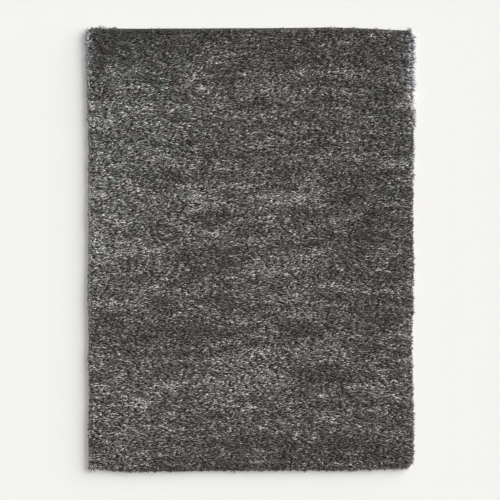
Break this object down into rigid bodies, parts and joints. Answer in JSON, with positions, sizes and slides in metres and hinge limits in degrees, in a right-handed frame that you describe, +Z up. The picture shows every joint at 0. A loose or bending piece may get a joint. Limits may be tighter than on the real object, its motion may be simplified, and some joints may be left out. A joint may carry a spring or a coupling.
{
  "type": "shag rug",
  "caption": "Rectangular shag rug lying flat: a thick lumpy pile of grey marled yarn with loose locks at its rim and a narrow dark binding along one end.",
  "frame": {"origin": "on the floor under the middle of the rug's bounding box", "axes": "+X across the rug to the right as seen from above, +Y along it from the foot end to the bound head end, +Z up"},
  "size_m": [1.7272, 2.328, 0.0363],
  "materials": {
    "pile": "long lying pile of charcoal and light grey marled yarn, matt",
    "binding": "close overcast sewing yarn, matt and dark"
  },
  "bodies": {
    "root": {"shag_pile": "pile", "head_binding": "binding"}
  },
  "joints": []
}
